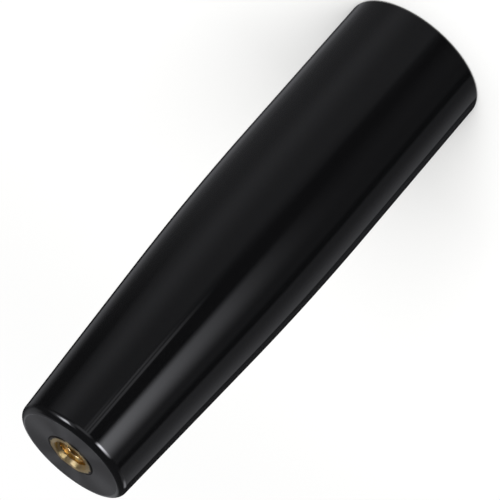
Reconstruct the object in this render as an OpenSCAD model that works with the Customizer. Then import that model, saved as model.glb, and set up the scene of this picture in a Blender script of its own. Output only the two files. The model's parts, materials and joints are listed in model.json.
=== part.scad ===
// Revolving machine handle: a moulded grip that turns freely on a tapped brass spindle.
// It stands on its flat outer end, with the axis along Z and the tapped mouth up.
// All sizes are in millimetres.

/* [Grip] */
// Length from the flat outer end to the flat mounting end
grip_length = 90; // [80:1:120]
// Diameter of the straight outer half
grip_d = 25.5; // [22:0.5:32]
// Diameter at which the taper's line meets the plane of the mounting end
neck_d = 20; // [16:0.5:21]
// Distance from the mounting end to where the taper's line crosses the straight half's
taper_length = 45; // [40:1:55]
// Radius of the long curve that blends the taper into the straight half
blend_r = 475; // [150:25:500]
// Edge radius round the outer end
outer_edge_r = 0.4; // [0.2:0.1:3]
// Edge radius round the mounting end
neck_edge_r = 1.2; // [0.4:0.1:3]

/* [Spindle] */
// Diameter of the spindle
spindle_d = 8.5; // [8:0.5:11]
// Length of the spindle
spindle_length = 60; // [40:1:70]
// Height of the spindle's end face above the mounting end
spindle_proud = 0.1; // [0:0.05:0.5]
// Chamfer round the spindle's end face
face_chamfer = 0.2; // [0.1:0.05:0.5]
// Chamfer round the spindle's inner tip, which leads it into the bore
tip_chamfer = 1; // [0.5:0.1:2]

/* [Tapped hole] */
// Nominal diameter of the thread
thread_d = 6; // [5:0.5:6]
// Pitch of the thread
thread_pitch = 1; // [0.75:0.05:1.25]
// Depth of the hole at its full diameter, from the spindle's end face
hole_depth = 15; // [8:0.5:18]
// How much wider than the thread the countersink is at the mouth
countersink_extra = 0.3; // [0.1:0.1:1]

/* [Retaining ring] */
// Diameter of the ring's round wire
ring_wire_d = 1.2; // [0.8:0.1:1.4]
// Angle left open between the ring's two ends
ring_opening = 60; // [50:5:90]
// Depth of the ring's middle, from the spindle's end face
ring_depth = 22; // [20:0.5:34]

/* [Fits] */
// Radial running clearance between the spindle and the bore
running_clearance = 0.05; // [0.02:0.01:0.1]
// Radial clearance between the sprung-open ring and the bottom of the grip's groove
ring_seat_clearance = 0.02; // [0.01:0.01:0.05]
// Axial play on each side of the ring, in both grooves
ring_side_play = 0.1; // [0.05:0.05:0.2]
// Radial room under the ring's wire when it is squeezed into the bore for assembly
ring_squeeze_room = 0.05; // [0.02:0.01:0.2]
// Room between the spindle's inner tip and the end of the straight bore
tip_clearance = 0.5; // [0.3:0.1:2]

/* [Hidden] */
$fn = 144;

// Included angle of a twist drill's point and of the moulding pin's end
drill_point_angle = 118;
// The blend is a small part of its circle, so the circle has many sides
blend_facets = 3600;
// Arcs stand this far proud of the taper, so that they cross it cleanly and don't just touch it
arc_overlap = 0.0005;
// Angle by which the blend's arc runs on inside the taper
blend_tail = 0.5;
// Distance by which a cut runs past the face that it opens
cut_margin = 1;

grip_r = grip_d / 2;
neck_r = neck_d / 2;
taper_angle = atan((grip_r - neck_r) / taper_length);
taper_top = grip_length - taper_length;

// The blend touches the straight half and the taper at equal distances from their crossing
blend_run = blend_r * tan(taper_angle / 2);
blend_centre = [grip_r - blend_r, taper_top - blend_run + arc_overlap / sin(taper_angle)];
blend_start = [grip_r, blend_centre.y];
blend_end = [grip_r - blend_run * sin(taper_angle), taper_top + blend_run * cos(taper_angle)];

outer_edge_centre = [grip_r - outer_edge_r, outer_edge_r];
neck_edge_mid = [
    neck_r - neck_edge_r * (1 - sin(taper_angle)) / cos(taper_angle),
    grip_length - neck_edge_r
];
neck_edge_start = neck_edge_mid + neck_edge_r * [cos(taper_angle), sin(taper_angle)];
neck_edge_centre = neck_edge_mid + [arc_overlap / cos(taper_angle), 0];

spindle_r = spindle_d / 2;
spindle_top = grip_length + spindle_proud;
spindle_tip = spindle_top - spindle_length;
bore_r = spindle_r + running_clearance;
bore_end = spindle_tip - tip_clearance;

// A tapping drill leaves the nominal diameter less one pitch
hole_r = (thread_d - thread_pitch) / 2;
hole_end = spindle_top - hole_depth;
countersink_r = (thread_d + countersink_extra) / 2;

// The wire's middle lies on the joint between spindle and bore, half in each groove
ring_z = spindle_top - ring_depth;
ring_mid_r = (spindle_r + bore_r) / 2;
ring_groove_width = ring_wire_d + 2 * ring_side_play;
grip_groove_r = ring_mid_r + ring_wire_d / 2 + ring_seat_clearance;
spindle_groove_r = bore_r - ring_wire_d - ring_squeeze_room;

// Half section of a round drilled or moulded hole's pointed end, from r at height z downwards
module drill_point(r, z) {
    polygon([[0, z], [r, z], [0, z - r / tan(drill_point_angle / 2)]]);
}

// Half section of a square groove centred on the ring, from inner_r to outer_r
module ring_groove(inner_r, outer_r) {
    translate([inner_r, ring_z - ring_groove_width / 2])
        square([outer_r - inner_r, ring_groove_width]);
}

// Slice of the blend's disc, as deep as the neck, from the straight half to just past the taper
module blend_slice() {
    sides = [[1, 0], [cos(taper_angle + blend_tail), sin(taper_angle + blend_tail)]];
    intersection() {
        circle(r = blend_r, $fn = blend_facets);
        polygon([
            (blend_r - neck_r) * sides[0],
            (blend_r + neck_r) * sides[0],
            (blend_r + neck_r) * sides[1],
            (blend_r - neck_r) * sides[1]
        ]);
    }
}

// Half section of the grip's outside: straight lines, with true arcs at the blend and edges
module grip_outline() {
    polygon([
        [0, 0],
        [outer_edge_centre.x, 0],
        [grip_r, outer_edge_centre.y],
        blend_start,
        blend_end,
        neck_edge_start,
        [neck_edge_centre.x, grip_length],
        [0, grip_length]
    ]);
    translate(outer_edge_centre)
        circle(r = outer_edge_r);
    translate(neck_edge_centre)
        circle(r = neck_edge_r);
    translate(blend_centre)
        blend_slice();
}

module grip() {
    color("#1c1c1e")
        rotate_extrude()
            difference() {
                grip_outline();
                translate([0, bore_end])
                    square([bore_r, grip_length - bore_end + cut_margin]);
                drill_point(bore_r, bore_end);
                ring_groove(0, grip_groove_r);
            }
}

module spindle() {
    color("#b5975a")
        rotate_extrude()
            difference() {
                polygon([
                    [0, spindle_tip],
                    [spindle_r - tip_chamfer, spindle_tip],
                    [spindle_r, spindle_tip + tip_chamfer],
                    [spindle_r, spindle_top - face_chamfer],
                    [spindle_r - face_chamfer, spindle_top],
                    [countersink_r, spindle_top],
                    [hole_r, spindle_top - (countersink_r - hole_r)],
                    [hole_r, hole_end],
                    [0, hole_end]
                ]);
                drill_point(hole_r, hole_end);
                ring_groove(spindle_groove_r, spindle_r + cut_margin);
            }
}

module retaining_ring() {
    color("#8c9096")
        translate([0, 0, ring_z])
            rotate([0, 0, ring_opening / 2])
                rotate_extrude(angle = 360 - ring_opening)
                    translate([ring_mid_r, 0])
                        circle(d = ring_wire_d);
}

grip();
spindle();
retaining_ring();
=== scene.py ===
# Looks of the revolving machine handle: black phenolic grip, tapped brass spindle, wire ring inside
import json
import math

import bmesh
import bpy
import numpy as np
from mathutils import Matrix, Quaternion, Vector


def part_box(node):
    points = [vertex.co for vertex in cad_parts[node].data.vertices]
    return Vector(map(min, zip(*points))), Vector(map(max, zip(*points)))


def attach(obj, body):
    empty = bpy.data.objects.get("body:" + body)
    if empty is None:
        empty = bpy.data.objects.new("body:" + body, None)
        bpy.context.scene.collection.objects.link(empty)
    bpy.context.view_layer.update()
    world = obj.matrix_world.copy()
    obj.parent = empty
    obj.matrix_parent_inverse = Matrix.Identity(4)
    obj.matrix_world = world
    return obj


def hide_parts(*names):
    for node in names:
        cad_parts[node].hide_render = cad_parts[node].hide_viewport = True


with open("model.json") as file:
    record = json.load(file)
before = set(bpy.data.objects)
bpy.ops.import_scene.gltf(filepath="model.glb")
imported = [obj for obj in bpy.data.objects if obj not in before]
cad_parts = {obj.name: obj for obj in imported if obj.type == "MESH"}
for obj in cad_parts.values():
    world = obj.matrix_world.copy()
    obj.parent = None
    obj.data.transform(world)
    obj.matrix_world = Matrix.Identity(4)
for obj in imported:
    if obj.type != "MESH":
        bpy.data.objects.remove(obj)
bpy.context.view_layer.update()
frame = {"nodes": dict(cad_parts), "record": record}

mm = 0.001          # sizes below are written in millimetres and turned to metres here
mergeGap = 0.0002   # mm, points closer than this become one
sharpFrom = 30      # degrees between faces, from which a corner stays sharp
quarterTurn = 0.25  # of a full turn, lays the sheen across the tool rings
bpy.context.scene.view_settings.view_transform = "Standard"
print("frame loaded:", sorted(frame["nodes"]))


# points from start to end with cosine spacing, so that rings crowd towards both ends
def span(start, end, steps):
    part = (1 - np.cos(np.linspace(0, np.pi, steps + 1))) / 2
    start, end = np.array(start, float), np.array(end, float)
    return start + part[:, None] * (end - start)


# points on a circle's arc: centre plus radius times (cos, sin) of an even run of angles
def arc(centre, radius, fromAngle, toAngle, steps):
    angle = np.linspace(fromAngle, toAngle, steps + 1)
    return np.array(centre) + radius * np.stack([np.cos(angle), np.sin(angle)], axis=1)


# half profile carried round the z axis: x = r cos a, y = r sin a, z as given; r may change with a
def turned(radius, height, columns):
    angle = np.linspace(0, 2 * np.pi, columns, endpoint=False)
    radius = np.broadcast_to(radius.reshape(len(radius), -1), (len(radius), columns))
    height = np.broadcast_to(np.reshape(height, (-1, 1)), radius.shape)
    return np.stack([radius * np.cos(angle), radius * np.sin(angle), height], axis=-1)


# quads between neighbouring rings of points, with each ring's last point joined to its first
def skin(name, rings):
    rows, columns = rings.shape[:2]
    here = np.arange(rows * columns).reshape(rows, columns)
    beside = np.roll(here, -1, axis=1)
    quads = np.stack([here[:-1], beside[:-1], beside[1:], here[1:]], axis=-1)
    mesh = bpy.data.meshes.new(name)
    mesh.from_pydata(rings.reshape(-1, 3).tolist(), [], quads.reshape(-1, 4).tolist())
    piece = bpy.data.objects.new(name, mesh)
    bpy.context.scene.collection.objects.link(piece)
    return piece


# closed piece from rings of points: a ring of no size becomes a single point
def closedPiece(name, rings, materials, rowMaterial=None):
    piece = skin(name, rings)
    mesh = piece.data
    for material in materials:
        mesh.materials.append(material)
    if rowMaterial is not None:
        faceMaterial = np.repeat(rowMaterial, rings.shape[1]).astype(np.int32)
        mesh.polygons.foreach_set("material_index", faceMaterial)
    work = bmesh.new()
    work.from_mesh(mesh)
    bmesh.ops.remove_doubles(work, verts=work.verts, dist=mergeGap * mm)
    work.to_mesh(mesh)
    work.free()
    mesh.shade_smooth()
    mesh.set_sharp_from_angle(angle=math.radians(sharpFrom))
    print("piece", name, len(mesh.polygons), "faces")
    return piece


# sRGB hex to linear RGBA
def linear(hexColour):
    srgb = np.array([int(hexColour[i:i + 2], 16) for i in (1, 3, 5)]) / 255
    rgb = np.where(srgb <= 0.04045, srgb / 12.92, ((srgb + 0.055) / 1.055) ** 2.4)
    return (*rgb.tolist(), 1.0)


# one shader node, with its settings, the values of its sockets and what is linked into them
def addNode(tree, kind, settings=None, values=None, links=None):
    made = tree.nodes.new("ShaderNode" + kind)
    for key, value in (settings or {}).items():
        setattr(made, key, value)
    for key, value in (values or {}).items():
        made.inputs[key].default_value = value
    for key, socket in (links or {}).items():
        tree.links.new(socket, made.inputs[key])
    return made


# empty material and its node tree
def newMaterial(name):
    material = bpy.data.materials.new(name)
    material.use_nodes = True
    material.node_tree.nodes.clear()
    return material, material.node_tree


# 1 for rays that lead to the camera, straight, mirrored or through glass, and 0 for those that only light
def seenRays(tree):
    ray = addNode(tree, "LightPath").outputs
    seen = addNode(tree, "Math", {"operation": "MAXIMUM"},
                   links={0: ray["Is Camera Ray"], 1: ray["Is Glossy Ray"]})
    seen = addNode(tree, "Math", {"operation": "MAXIMUM"},
                   links={0: seen.outputs[0], 1: ray["Is Transmission Ray"]})
    return seen.outputs[0]


# scale of a wave texture with waves this many mm apart: it repeats every 2 pi / 20 of its own unit
def waveScale(spacing):
    return math.pi / 10 / (spacing * mm)


# black phenolic, moulded and buffed: deep black, mirror-like, with a faint orange peel from the mould
polishLook = {
    "dark": "#080809",
    "light": "#0c0c0d",
    "ior": 1.6,
    "roughness": (0.05, 0.09),
    "filler": 0.6,      # mm, mottle of the wood-flour filler
    "smear": 9,         # mm, patches that the buffing wheel left duller
    "peel": 3,          # mm, width of the orange peel's dimples
    "peelDepth": 0.0004,  # mm
}


def polishedPhenolic(look):
    material, tree = newMaterial("polished_phenolic")
    smooth, rough = look["roughness"]
    place = addNode(tree, "TexCoord").outputs["Object"]
    filler = addNode(tree, "TexNoise", values={"Scale": 1 / (look["filler"] * mm), "Detail": 3},
                     links={"Vector": place})
    smear = addNode(tree, "TexNoise", values={"Scale": 1 / (look["smear"] * mm), "Detail": 2},
                    links={"Vector": place})
    peel = addNode(tree, "TexNoise", values={"Scale": 1 / (look["peel"] * mm), "Detail": 1},
                   links={"Vector": place})
    colour = addNode(tree, "MixRGB", values={1: linear(look["dark"]), 2: linear(look["light"])},
                     links={0: filler.outputs["Fac"]})
    dull = addNode(tree, "MapRange", values={"To Min": smooth, "To Max": rough},
                   links={"Value": smear.outputs["Fac"]})
    bump = addNode(tree, "Bump", values={"Strength": 1, "Distance": look["peelDepth"] * mm},
                   links={"Height": peel.outputs["Fac"]})
    surface = addNode(tree, "BsdfPrincipled", values={"IOR": look["ior"]},
                      links={"Base Color": colour.outputs[0], "Roughness": dull.outputs[0],
                             "Normal": bump.outputs[0]})
    addNode(tree, "OutputMaterial", links={"Surface": surface.outputs[0]})
    return material


# the same phenolic, faced off and sanded: matt dark grey with a fine even grit
sandedLook = {
    "dark": "#252526",
    "light": "#333335",
    "ior": 1.6,
    "roughness": (0.5, 0.62),
    "stretch": 0.85,    # sheen drawn out across the rings that facing and sanding left
    "grit": 0.25,       # mm, coarser than the real 0.1 mm so that it shows
    "gritDepth": 0.01,  # mm
    "cloud": 2.5,       # mm, uneven sanding
}


def sandedPhenolic(look):
    material, tree = newMaterial("sanded_phenolic")
    smooth, rough = look["roughness"]
    place = addNode(tree, "TexCoord").outputs["Object"]
    grit = addNode(tree, "TexNoise", values={"Scale": 1 / (look["grit"] * mm), "Detail": 4},
                   links={"Vector": place})
    cloud = addNode(tree, "TexNoise", values={"Scale": 1 / (look["cloud"] * mm), "Detail": 3},
                    links={"Vector": place})
    colour = addNode(tree, "MixRGB", values={1: linear(look["dark"]), 2: linear(look["light"])},
                     links={0: cloud.outputs["Fac"]})
    dull = addNode(tree, "MapRange", values={"To Min": smooth, "To Max": rough},
                   links={"Value": cloud.outputs["Fac"]})
    bump = addNode(tree, "Bump", values={"Strength": 1, "Distance": look["gritDepth"] * mm},
                   links={"Height": grit.outputs["Fac"]})
    around = addNode(tree, "Tangent", {"direction_type": "RADIAL", "axis": "Z"})
    surface = addNode(tree, "BsdfPrincipled",
                      values={"IOR": look["ior"], "Anisotropic": look["stretch"],
                              "Anisotropic Rotation": quarterTurn},
                      links={"Base Color": colour.outputs[0], "Roughness": dull.outputs[0],
                             "Normal": bump.outputs[0], "Tangent": around.outputs[0]})
    addNode(tree, "OutputMaterial", links={"Surface": surface.outputs[0]})
    return material


# free-cutting brass, turned and tapped: pale gold metal whose tool rings draw highlights out towards the
# axis, with painted shade: a ragged dark line where it meets the moulding, for the shadow in the gap there
brassLook = {
    "pale": "#e6d2ae",
    "deep": "#e3c680",
    # painted shade: colour of the dark line in the gap round the brass
    "grime": "#4a443c",
    "oil": "#d0a656",    # painted shade: darker, deeper gold in the thread roots
    "roughness": (0.43, 0.52),
    "stretch": 0.78,     # how much longer highlights are across the tool rings than along them
    "feed": 0.22,        # mm between tool rings, coarser than the real 0.08 mm so that they show
    "ringDepth": 0.003,  # mm
    "stain": 1.4,        # mm, patches of handling tarnish
    "grimeFrom": 3.75,   # mm from the axis, where the dark line starts
    "grimeFull": 3.95,
    "ragged": 0.7,       # mm, length of the line's ragged notches
    "raggedBy": 1,       # mm, how far they reach in and out
    "grimeDepth": 0.4,   # mm below the end face, as deep as it goes
    "crest": (2.5, 2.64),  # mm from the axis, over which the burnish of the crests ends
    "burnish": 0.3,      # roughness of the crests as a share of the rest
    "root": (2.6, 2.95),  # mm from the axis, over which the roots turn dark with painted shade
    "boreTo": (3.06, 3.14),  # mm from the axis, past which it isn't thread any more
    "mouth": (3.17, 3.27),  # mm of radius plus depth, over which the countersink turns into thread
}


def turnedBrass(look, top):
    material, tree = newMaterial("turned_brass")
    smooth, rough = look["roughness"]
    fade, times = {"interpolation_type": "SMOOTHSTEP"}, {"operation": "MULTIPLY"}
    place = addNode(tree, "TexCoord").outputs["Object"]
    stain = addNode(tree, "TexNoise", values={"Scale": 1 / (look["stain"] * mm), "Detail": 4},
                    links={"Vector": place})
    rings = addNode(tree, "TexWave", {"wave_type": "RINGS", "rings_direction": "Z"},
                    {"Scale": waveScale(look["feed"]), "Distortion": 0.4, "Detail": 2},
                    {"Vector": place})
    metal = addNode(tree, "MixRGB", values={1: linear(look["pale"]), 2: linear(look["deep"])},
                    links={0: stain.outputs["Fac"]})
    # painted gap shade: grows with the distance from the axis, with notches, and only just below the end
    # face
    flat = addNode(tree, "VectorMath", times, {1: (1, 1, 0)}, {0: place})
    away = addNode(tree, "VectorMath", {"operation": "LENGTH"}, links={0: flat.outputs[0]})
    notches = addNode(tree, "TexNoise", values={"Scale": 1 / (look["ragged"] * mm), "Detail": 3},
                      links={"Vector": place})
    notched = addNode(tree, "Math", {"operation": "MULTIPLY_ADD"}, {1: look["raggedBy"] * mm},
                      {0: notches.outputs["Fac"], 2: away.outputs["Value"]})
    half = look["raggedBy"] / 2
    outer = addNode(tree, "MapRange", fade,
                    {"From Min": (look["grimeFrom"] + half) * mm,
                     "From Max": (look["grimeFull"] + half) * mm},
                    {"Value": notched.outputs[0]})
    height = addNode(tree, "SeparateXYZ", links={0: place}).outputs["Z"]
    near = addNode(tree, "MapRange", fade,
                   {"From Min": (top - look["grimeDepth"]) * mm,
                    "From Max": (top - look["grimeDepth"] / 2) * mm},
                   {"Value": height})
    edge = addNode(tree, "Math", times, links={0: outer.outputs[0], 1: near.outputs[0]})
    # painted shade in the thread roots: far enough from the axis, and past the countersink's cone
    wide = addNode(tree, "MapRange", fade,
                   {"From Min": look["root"][0] * mm, "From Max": look["root"][1] * mm},
                   {"Value": away.outputs["Value"]})
    reach = addNode(tree, "Math", {"operation": "SUBTRACT"}, links={0: away.outputs["Value"], 1: height})
    past = addNode(tree, "MapRange", fade,
                   {"From Min": (look["mouth"][0] - top) * mm, "From Max": (look["mouth"][1] - top) * mm},
                   {"Value": reach.outputs[0]})
    root = addNode(tree, "Math", times, links={0: wide.outputs[0], 1: past.outputs[0]})
    inside = addNode(tree, "MapRange", fade,
                     {"From Min": look["boreTo"][0] * mm, "From Max": look["boreTo"][1] * mm,
                      "To Min": 1, "To Max": 0}, {"Value": away.outputs["Value"]})
    root = addNode(tree, "Math", times, links={0: root.outputs[0], 1: inside.outputs[0]})
    # painted shade: roots darker and deeper gold, as shade and mirrored brass light make them
    rootShaded = addNode(tree, "MixRGB", values={2: linear(look["oil"])},
                    links={0: root.outputs[0], 1: metal.outputs[0]})
    # painted shade of the gap, laid over the brass's rim
    colour = addNode(tree, "MixRGB", values={2: linear(look["grime"])},
                     links={0: edge.outputs[0], 1: rootShaded.outputs[0]})
    grain = addNode(tree, "MapRange", values={"To Min": smooth, "To Max": rough},
                    links={"Value": stain.outputs["Fac"]})
    crest = addNode(tree, "MapRange", fade,
                    {"From Min": look["crest"][0] * mm, "From Max": look["crest"][1] * mm,
                     "To Min": look["burnish"], "To Max": 1}, {"Value": away.outputs["Value"]})
    dull = addNode(tree, "Math", times, links={0: grain.outputs[0], 1: crest.outputs[0]})
    bump = addNode(tree, "Bump", values={"Strength": 1, "Distance": look["ringDepth"] * mm},
                   links={"Height": rings.outputs["Fac"]})
    around = addNode(tree, "Tangent", {"direction_type": "RADIAL", "axis": "Z"})
    surface = addNode(tree, "BsdfPrincipled",
                      values={"Metallic": 1, "Anisotropic": look["stretch"],
                              "Anisotropic Rotation": quarterTurn},
                      links={"Base Color": colour.outputs[0], "Roughness": dull.outputs[0],
                             "Normal": bump.outputs[0], "Tangent": around.outputs[0]})
    addNode(tree, "OutputMaterial", links={"Surface": surface.outputs[0]})
    return material


# drawn spring wire: grey steel with a dull sheen and the die's fine lines
wireLook = {
    "light": "#a9adb3",
    "dark": "#83878d",
    "roughness": (0.28, 0.42),
    "line": 0.12,       # mm between the die's lines
    "lineDepth": 0.002,  # mm
}


def drawnWire(look):
    material, tree = newMaterial("drawn_spring_wire")
    smooth, rough = look["roughness"]
    place = addNode(tree, "TexCoord").outputs["Object"]
    lines = addNode(tree, "TexWave", {"wave_type": "BANDS", "bands_direction": "Z"},
                    {"Scale": waveScale(look["line"]), "Distortion": 0.6, "Detail": 2},
                    {"Vector": place})
    colour = addNode(tree, "MixRGB", values={1: linear(look["dark"]), 2: linear(look["light"])},
                     links={0: lines.outputs["Fac"]})
    dull = addNode(tree, "MapRange", values={"To Min": smooth, "To Max": rough},
                   links={"Value": lines.outputs["Fac"]})
    bump = addNode(tree, "Bump", values={"Strength": 1, "Distance": look["lineDepth"] * mm},
                   links={"Height": lines.outputs["Fac"]})
    surface = addNode(tree, "BsdfPrincipled", values={"Metallic": 1},
                      links={"Base Color": colour.outputs[0], "Roughness": dull.outputs[0],
                             "Normal": bump.outputs[0]})
    addNode(tree, "OutputMaterial", links={"Surface": surface.outputs[0]})
    return material


# grip: straight half, long blend, taper, rounded edges, flat ends, blind bore with a ring groove
gripLow, gripHigh = (np.array(corner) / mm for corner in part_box("grip"))
spindleLow, spindleHigh = (np.array(corner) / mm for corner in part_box("spindle"))
ringLow, ringHigh = (np.array(corner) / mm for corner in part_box("retaining_ring"))
ringHeight = (ringLow[2] + ringHigh[2]) / 2

gripSizes = {
    "length": gripHigh[2],
    "radius": gripHigh[0],
    "neckRadius": 10,     # where the taper's line meets the mounting end
    "taperLength": 45,
    "blendRadius": 475,
    "outerEdge": 0.4,
    "neckEdge": 1.2,
    "runningGap": 0.05,   # between the spindle and the bore
    "tipGap": 0.5,        # between the spindle's tip and the end of the straight bore
    "pointAngle": 59,     # half of a drill's point
    "grooveRadius": 4.895,
    "grooveWidth": 1.4,
    "columns": 240,
}


# half profile r(z) carried round the axis. The blend touches the straight half and the taper at R tan(s/2)
# from where their lines cross, with s the taper's slope, and the neck's edge touches the taper and the end
def makeGrip(size):
    slope = math.atan((size["radius"] - size["neckRadius"]) / size["taperLength"])
    blendRun = size["blendRadius"] * math.tan(slope / 2)
    blendLow = size["length"] - size["taperLength"] - blendRun
    edge, neck = size["outerEdge"], size["neckEdge"]
    neckInset = neck * (1 - math.sin(slope)) / math.cos(slope)
    neckMiddle = (size["neckRadius"] - neckInset, size["length"] - neck)
    outerArc = arc((size["radius"] - edge, edge), edge, -math.pi / 2, 0, 10)
    blendArc = arc((size["radius"] - size["blendRadius"], blendLow), size["blendRadius"], 0, slope, 36)
    neckArc = arc(neckMiddle, neck, slope, math.pi / 2, 20)
    bore, groove = spindleHigh[0] + size["runningGap"], size["grooveRadius"]
    grooveLow = ringHeight - size["grooveWidth"] / 2
    grooveHigh = ringHeight + size["grooveWidth"] / 2
    boreEnd = spindleLow[2] - size["tipGap"]
    pointEnd = boreEnd - bore / math.tan(math.radians(size["pointAngle"]))
    outside = [
        span((0, 0), outerArc[0], 8)[:-1],
        outerArc[:-1],
        span(outerArc[-1], blendArc[0], 24)[:-1],
        blendArc[:-1],
        span(blendArc[-1], neckArc[0], 24)[:-1],
        neckArc,
    ]
    inside = [
        span(neckArc[-1], (bore, size["length"]), 12)[1:],
        span((bore, size["length"]), (bore, grooveHigh), 12)[1:],
        span((bore, grooveHigh), (groove, grooveHigh), 2)[1:],
        span((groove, grooveHigh), (groove, grooveLow), 4)[1:],
        span((groove, grooveLow), (bore, grooveLow), 2)[1:],
        span((bore, grooveLow), (bore, boreEnd), 16)[1:],
        span((bore, boreEnd), (0, pointEnd), 6)[1:],
    ]
    profile = np.concatenate(outside + inside)
    firstInside = sum(len(part) for part in outside) - 1
    rowMaterial = np.arange(len(profile) - 1) >= firstInside
    rings = turned(profile[:, 0], profile[:, 1], size["columns"]) * mm
    looks = [polishedPhenolic(polishLook), sandedPhenolic(sandedLook)]
    return closedPiece("grip_moulding", rings, looks, rowMaterial)


grip = makeGrip(gripSizes)
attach(grip, "grip")
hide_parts("grip")

# spindle: turned bar with a ring groove, a countersunk mouth and a tapped blind hole
threadMount = next(m for m in frame["record"]["mounts"] if m["kind"] == "threaded_hole")
spindleSizes = {
    "radius": spindleHigh[0],
    "top": spindleHigh[2],
    "tip": spindleLow[2],
    "tipChamfer": 1,
    "faceChamfer": 0.2,
    "grooveRadius": 3.05,
    "grooveWidth": 1.4,
    "mouthRadius": 3.15,
    "holeRadius": threadMount["dims"]["r_mm"],
    "holeDepth": 15,
    "pointAngle": 59,
    "pitch": 1,
    "threadDepth": 0.54,     # from the drilled wall to the thread's root
    "threadLength": 13,
    "runOut": 1.5,           # over which the tap's lead leaves the thread shallower
    "cornerRound": 0.07,     # crests and roots are rounded over this much
    "threadStart": 190,      # degrees round the axis
    "firstRow": 0.02,        # depth of the wall's first row of points
    "fineTo": 4,             # depth down to which the hole can be seen into, with fine rows
    "fineStep": 0.025,
    "coarseStep": 0.06,
    "columns": 160,
}


# depth of a right-hand 60 degree thread at an angle and a height: a flat of P/8 at the root, P/4 at the
# crest and straight flanks between, averaged over a small window so that its corners are round
def threadDepth(angle, height, size):
    start = math.radians(size["threadStart"])
    turns = (height - size["top"]) / size["pitch"] - (angle - start) / (2 * math.pi)
    window = np.linspace(-1, 1, 9) * size["cornerRound"] / size["pitch"]
    fromRoot = np.abs((turns[..., None] + window + 0.5) % 1 - 0.5)
    shape = np.clip((3 / 8 - fromRoot) / (5 / 16), 0, 1).mean(axis=-1)
    below = size["top"] - height
    runOut = np.clip((size["threadLength"] - below) / size["runOut"], 0, 1)
    return size["threadDepth"] * shape * runOut


# half profile carried round the axis; in the hole, r is the larger of the countersink's cone (mouth less
# depth) and the drilled radius plus the thread's depth at that angle and height
def makeSpindle(size):
    radius, top, tip = size["radius"], size["top"], size["tip"]
    groove, hole, mouth = size["grooveRadius"], size["holeRadius"], size["mouthRadius"]
    grooveLow = ringHeight - size["grooveWidth"] / 2
    grooveHigh = ringHeight + size["grooveWidth"] / 2
    faceEdge = radius - size["faceChamfer"]
    holeEnd = top - size["holeDepth"]
    outside = np.concatenate([
        span((0, tip), (radius - size["tipChamfer"], tip), 5)[:-1],
        span((radius - size["tipChamfer"], tip), (radius, tip + size["tipChamfer"]), 4)[:-1],
        span((radius, tip + size["tipChamfer"]), (radius, grooveLow), 16)[:-1],
        span((radius, grooveLow), (groove, grooveLow), 3)[:-1],
        span((groove, grooveLow), (groove, grooveHigh), 4)[:-1],
        span((groove, grooveHigh), (radius, grooveHigh), 3)[:-1],
        span((radius, grooveHigh), (radius, top - size["faceChamfer"]), 14)[:-1],
        span((radius, top - size["faceChamfer"]), (faceEdge, top), 3)[:-1],
        span((faceEdge, top), (mouth, top), 8),
    ])
    fine = np.arange(size["firstRow"], size["fineTo"], size["fineStep"])
    coarse = np.arange(size["fineTo"], size["holeDepth"], size["coarseStep"])
    wall = top - np.concatenate([fine, coarse, [size["holeDepth"]]])
    pointEnd = holeEnd - hole / math.tan(math.radians(size["pointAngle"]))
    point = span((hole, holeEnd), (0, pointEnd), 5)[1:]
    angle = np.linspace(0, 2 * np.pi, size["columns"], endpoint=False)
    tapped = hole + threadDepth(angle[None, :], wall[:, None], size)
    countersunk = mouth - (top - wall)
    tapped = np.maximum(tapped, countersunk[:, None])
    whole = np.ones((1, size["columns"]))
    radii = np.concatenate([outside[:, :1] * whole, tapped, point[:, :1] * whole])
    heights = np.concatenate([outside[:, 1], wall, point[:, 1]])
    rings = turned(radii, heights, size["columns"]) * mm
    return closedPiece("tapped_spindle", rings, [turnedBrass(brassLook, top)])


spindle = makeSpindle(spindleSizes)
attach(spindle, "spindle")
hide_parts("spindle")

# retaining ring: round wire bent to an open circle, its cut ends slightly broken
ringSizes = {
    "wireRadius": (ringHigh[2] - ringLow[2]) / 2,
    "middleRadius": ringHigh[1] - (ringHigh[2] - ringLow[2]) / 2,
    "opening": 60,        # degrees, centred on +X
    "endBreak": 0.12,
    "columns": 24,
}


# a circle carried along an arc: middle (R cos u, R sin u) plus w (cos v) outwards and w (sin v) down
def makeRing(size):
    first = math.radians(size["opening"] / 2)
    breakAngle = size["endBreak"] / size["middleRadius"]
    along = np.linspace(first + breakAngle, 2 * np.pi - first - breakAngle, 121)
    along = np.concatenate([[first, first], along, [2 * np.pi - first] * 2])
    wire = np.full(len(along), size["wireRadius"])
    wire[[1, -2]] -= size["endBreak"]
    wire[[0, -1]] = 0
    around = np.linspace(0, 2 * np.pi, size["columns"], endpoint=False)
    outwards = size["middleRadius"] + wire[:, None] * np.cos(around)
    heights = ringHeight - wire[:, None] * np.sin(around)
    x, y = outwards * np.cos(along)[:, None], outwards * np.sin(along)[:, None]
    rings = np.stack([x, y, heights], axis=-1)
    return closedPiece("retaining_wire", rings * mm, [drawnWire(wireLook)])


ring = makeRing(ringSizes)
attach(ring, "grip")
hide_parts("retaining_ring")

# floor: a wide pale sheet that keeps the handle's shadow; past the shadow it is seen white like the world
floorSizes = {
    "radius": 4,
    "colour": "#fafaf9",
    "whiteFrom": 0.13,  # m from the axis
    "whiteTo": 0.3,
}


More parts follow.
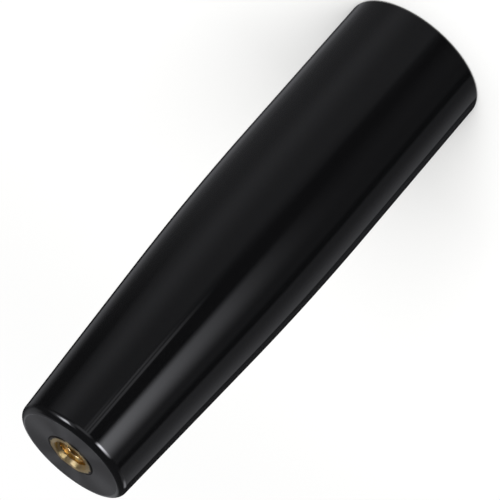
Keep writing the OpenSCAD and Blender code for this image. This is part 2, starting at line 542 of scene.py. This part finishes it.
# disc r from 0 to the radius; its white share is a smooth step of the distance from the axis
def makeFloor(size):
    material, tree = newMaterial("pale_floor")
    place = addNode(tree, "TexCoord").outputs["Object"]
    away = addNode(tree, "VectorMath", {"operation": "LENGTH"}, links={0: place})
    far = addNode(tree, "MapRange", {"interpolation_type": "SMOOTHSTEP"},
                  {"From Min": size["whiteFrom"], "From Max": size["whiteTo"]},
                  {"Value": away.outputs["Value"]})
    white = addNode(tree, "Math", {"operation": "MULTIPLY"},
                    links={0: far.outputs[0], 1: seenRays(tree)})
    sheet = addNode(tree, "BsdfDiffuse", values={"Color": linear(size["colour"])})
    blank = addNode(tree, "Emission", values={"Strength": 1})
    both = addNode(tree, "MixShader",
                   links={0: white.outputs[0], 1: sheet.outputs[0], 2: blank.outputs[0]})
    addNode(tree, "OutputMaterial", links={"Surface": both.outputs[0]})
    material.cycles.emission_sampling = "NONE"
    rings = turned(np.array([0, size["radius"]]), np.zeros(2), 64)
    floor = skin("floor", rings)
    floor.data.materials.append(material)
    print("floor", 2 * size["radius"], "m across")


makeFloor(floorSizes)

# what the polished surfaces mirror: a tent of panels that only glossy rays see, dark with lighter parts.
# sides are angles round the handle as the camera sees it, from -90 at one limb to 90 at the other, and
# soft is the width over which a side fades; a brightness of 1 is white
tentSizes = {
    "foot": gripSizes["radius"],
    "lift": 0.3,           # mm above the floor
    "table": 420,          # mm of flat panel before it turns up
    "corner": 80,
    "wall": 300,
    "zenith": 700,
    "tableLevel": 0.012,
    "wallLevel": 0.045,
    "tint": "#f8f9ff",     # daylight through white cloth, a little cool
    "gain": 1.05,          # makes up for what the tint takes away
    "columns": 720,
}
# strips lie on the table: foot is the brightness beside the handle, rim the one at the table's rim, and
# grow gives the distances in mm between which one turns into the other
strips = {
    "far right": {"sides": (-78.5, -69.5), "soft": (3, 2),
        "foot": 0.03, "rim": 0.021, "grow": (0, 420)},
    "right rim": {"sides": (-68, -43.5), "soft": (2, 3),
        "foot": 0.09, "rim": 0.18, "grow": (0, 420)},
    "right rim glow": {"sides": (-68, -56), "soft": (2, 16),
        "foot": 0.115, "rim": 0.095, "grow": (0, 420)},
    "right middle": {"sides": (-37.5, -19), "soft": (4, 12),
        "foot": 0.045, "rim": 0.1, "grow": (0, 420)},
    "right softbox": {"sides": (-24.5, -12), "soft": (15, 6),
        "foot": 0.03, "rim": 2.1, "grow": (60, 520)},
    "thin edge": {"sides": (-0.4, 1.5), "soft": (0.8, 0.8),
        "foot": 0, "rim": 0.45, "grow": (205, 290)},
    "second edge": {"sides": (2.4, 3.8), "soft": (0.8, 0.8),
        "foot": 0, "rim": 0.45, "grow": (240, 320)},
    "third edge": {"sides": (4.6, 6.2), "soft": (0.8, 1.2),
        "foot": 0, "rim": 0.2, "grow": (330, 390)},
    "low edge": {"sides": (-4, 3), "soft": (9, 8),
        "foot": 0.07, "rim": 0, "grow": (0, 60)},
    "slanted edge": {"sides": (-1, 3), "soft": (5, 8),
        "foot": 0.09, "rim": 0, "grow": (20, 210)},
    "left broad": {"sides": (3, 43.5), "soft": (8, 8),
        "foot": 0.145, "rim": 0.1, "grow": (0, 420)},
    "left bump": {"sides": (22, 36), "soft": (16, 14),
        "foot": 0.1, "rim": 0.14, "grow": (0, 420)},
    "left gap": {"sides": (43.5, 64), "soft": (8, 8),
        "foot": 0.135, "rim": 0.01, "grow": (60, 300)},
    "left rim": {"sides": (65, 77), "soft": (14, 4),
        "foot": 0.29, "rim": 0.2, "grow": (0, 420)},
    "far left": {"sides": (78, 95), "soft": (4, 1),
        "foot": 0.075, "rim": 0, "grow": (0, 180)},
}
# patches hang on the wall and the roof, between two heights in mm that fade in the same way
patches = {
    "right halo": {"sides": (-62, -46), "soft": (8, 10),
        "heights": (20, 270), "fade": (40, 140), "level": 0.2},
    "right glow": {"sides": (-67.8, -58.5), "soft": (4, 8),
        "heights": (40, 172), "fade": (80, 100), "level": 1.2},
    "right softbox": {"sides": (-21.5, -11.5), "soft": (18, 6),
        "heights": (70, 350), "fade": (140, 220), "level": 13.5},
    "left glow": {"sides": (-2.5, 13.5), "soft": (8, 6),
        "heights": (50, 330), "fade": (100, 200), "level": 0.5},
    "left halo": {"sides": (15, 41), "soft": (5, 12),
        "heights": (210, 580), "fade": (180, 110), "level": 0.42},
    "left softbox": {"sides": (22.2, 33), "soft": (5, 11),
        "heights": (360, 550), "fade": (160, 130), "level": 8.3},
    "left back": {"sides": (62, 86.5), "soft": (10, 4),
        "heights": (200, 460), "fade": (220, 120), "level": 0.25},
    "left rim glow": {"sides": (65, 71), "soft": (6, 6),
        "heights": (20, 150), "fade": (40, 100), "level": 0.12},
    "left low back": {"sides": (86.5, 95), "soft": (4, 1),
        "heights": (100, 300), "fade": (120, 100), "level": 0.44},
    "right low back": {"sides": (-95, -83), "soft": (1, 6),
        "heights": (100, 300), "fade": (120, 100), "level": 0.38},
}


# smooth step from 0 to 1 as x goes from a to b: t t (3 - 2 t)
def smoothStep(x, a, b):
    part = np.clip((x - a) / (b - a), 0, 1)
    return part * part * (3 - 2 * part)


# 1 between two ends, falling to 0 over a soft width centred on each end
def window(x, ends, soft):
    rise = smoothStep(x, ends[0] - soft[0] / 2, ends[0] + soft[0] / 2)
    fall = smoothStep(x, ends[1] - soft[1] / 2, ends[1] + soft[1] / 2)
    return rise * (1 - fall)


# tent: from a point of the handle's foot at side p, straight out along its mirrored direction 2 p, then
# round a corner, up the wall and over to the zenith
def makeTent(size):
    side = np.linspace(-90, 90, size["columns"])
    flat = span((0, 0), (size["table"], 0), 48)
    corner = arc((size["table"], size["corner"]), size["corner"], -math.pi / 2, 0, 12)[1:]
    reach = size["table"] + size["corner"]
    wall = span((reach, size["corner"]), (reach, size["wall"]), 12)[1:]
    over = np.linspace(0, math.pi / 2, 25)[1:]
    rise = size["zenith"] - size["wall"]
    roof = np.stack([reach * np.cos(over), size["wall"] + rise * np.sin(over)], axis=1)
    path = np.concatenate([flat, corner, wall, roof])
    angle = np.radians(side)
    out, up = path[:, :1], path[:, 1:]
    foot = np.where(up > 0, size["foot"] * out / reach, size["foot"])
    x = foot * np.cos(angle) + out * np.cos(2 * angle)
    y = foot * np.sin(angle) + out * np.sin(2 * angle)
    z = np.broadcast_to(up + size["lift"], x.shape)
    tent = skin("gloss_tent", np.stack([x, y, z], axis=-1) * mm)

    # brightness: the strips' sum on the table turns into the wall's level round the corner, and the patches
    # are added to both
    glow = np.full(x.shape, size["tableLevel"])
    for strip in strips.values():
        level = strip["foot"] + (strip["rim"] - strip["foot"]) * smoothStep(out, *strip["grow"])
        glow = glow + window(side, strip["sides"], strip["soft"]) * level
    glow = glow + (size["wallLevel"] - glow) * smoothStep(up, 0, size["corner"])
    for patch in patches.values():
        across = window(side, patch["sides"], patch["soft"])
        glow = glow + across * window(up, patch["heights"], patch["fade"]) * patch["level"]
    attribute = tent.data.attributes.new("glow", "FLOAT", "POINT")
    attribute.data.foreach_set("value", (glow * size["gain"]).ravel().astype(np.float32))

    material, tree = newMaterial("tent_panels")
    level = addNode(tree, "Attribute", {"attribute_name": "glow"})
    light = addNode(tree, "Emission", values={"Color": linear(size["tint"])},
                    links={"Strength": level.outputs["Fac"]})
    addNode(tree, "OutputMaterial", links={"Surface": light.outputs[0]})
    material.cycles.emission_sampling = "NONE"
    tent.data.materials.append(material)
    tent.visible_camera = False
    tent.visible_diffuse = False
    tent.visible_transmission = False
    tent.visible_shadow = False
    print("tent with", len(strips), "strips and", len(patches), "patches")


makeTent(tentSizes)

# lamp: one large soft lamp for the matt surfaces and the floor; the panels above are what gloss shows
keyLamp = {
    "azimuth": 0,
    "elevation": 55,
    "distance": 1.2,
    "size": 0.9,
    "watts": 13.5,
}


# stands at a distance from the mounting end, turned towards it
def makeLamp(lamp):
    aim = Vector((0, 0, gripSizes["length"] * mm))
    azimuth, elevation = math.radians(lamp["azimuth"]), math.radians(lamp["elevation"])
    away = Vector((math.cos(azimuth), math.sin(azimuth), 0)) * math.cos(elevation)
    away.z = math.sin(elevation)
    data = bpy.data.lights.new("key", "AREA")
    data.size = lamp["size"]
    data.energy = lamp["watts"]
    item = bpy.data.objects.new("key", data)
    item.location = aim + away * lamp["distance"]
    item.rotation_euler = away.to_track_quat("Z", "Y").to_euler()
    item.visible_camera = False
    item.visible_glossy = False
    bpy.context.scene.collection.objects.link(item)
    print("key lamp", lamp["watts"], "W")


makeLamp(keyLamp)

# world: even grey light; the camera and mirrored rays see it white
worldLevel = 0.55


def makeWorld(level):
    world = bpy.data.worlds.new("studio")
    world.use_nodes = True
    tree = world.node_tree
    tree.nodes.clear()
    light = addNode(tree, "Background", values={"Color": (1, 1, 1, 1), "Strength": level})
    white = addNode(tree, "Background", values={"Color": (1, 1, 1, 1), "Strength": 1})
    both = addNode(tree, "MixShader",
                   links={0: seenRays(tree), 1: light.outputs[0], 2: white.outputs[0]})
    addNode(tree, "OutputWorld", links={"Surface": both.outputs[0]})
    bpy.context.scene.world = world
    print("world", level)


makeWorld(worldLevel)

# camera: looks down on the mounting end, turned so that the handle lies across the picture
cameraView = {
    "lens": 223.5,
    "distance": 489.6,
    "elevation": 23.36,
    "roll": -139.17,
    "aim": (0, -0.23, 44.85),
}


def makeCamera(view):
    data = bpy.data.cameras.new("camera")
    data.lens = view["lens"]
    elevation = math.radians(view["elevation"])
    aim = Vector(view["aim"])
    away = Vector((math.cos(elevation), 0, math.sin(elevation)))
    place = Vector((0, 0, aim.z)) + view["distance"] * away
    camera = bpy.data.objects.new("camera", data)
    camera.rotation_mode = "QUATERNION"
    camera.location = place * mm
    level = (aim - place).to_track_quat("-Z", "Y")
    camera.rotation_quaternion = level @ Quaternion((0, 0, 1), math.radians(view["roll"]))
    bpy.context.scene.collection.objects.link(camera)
    bpy.context.scene.camera = camera
    print("camera", view["lens"], "mm")


makeCamera(cameraView)
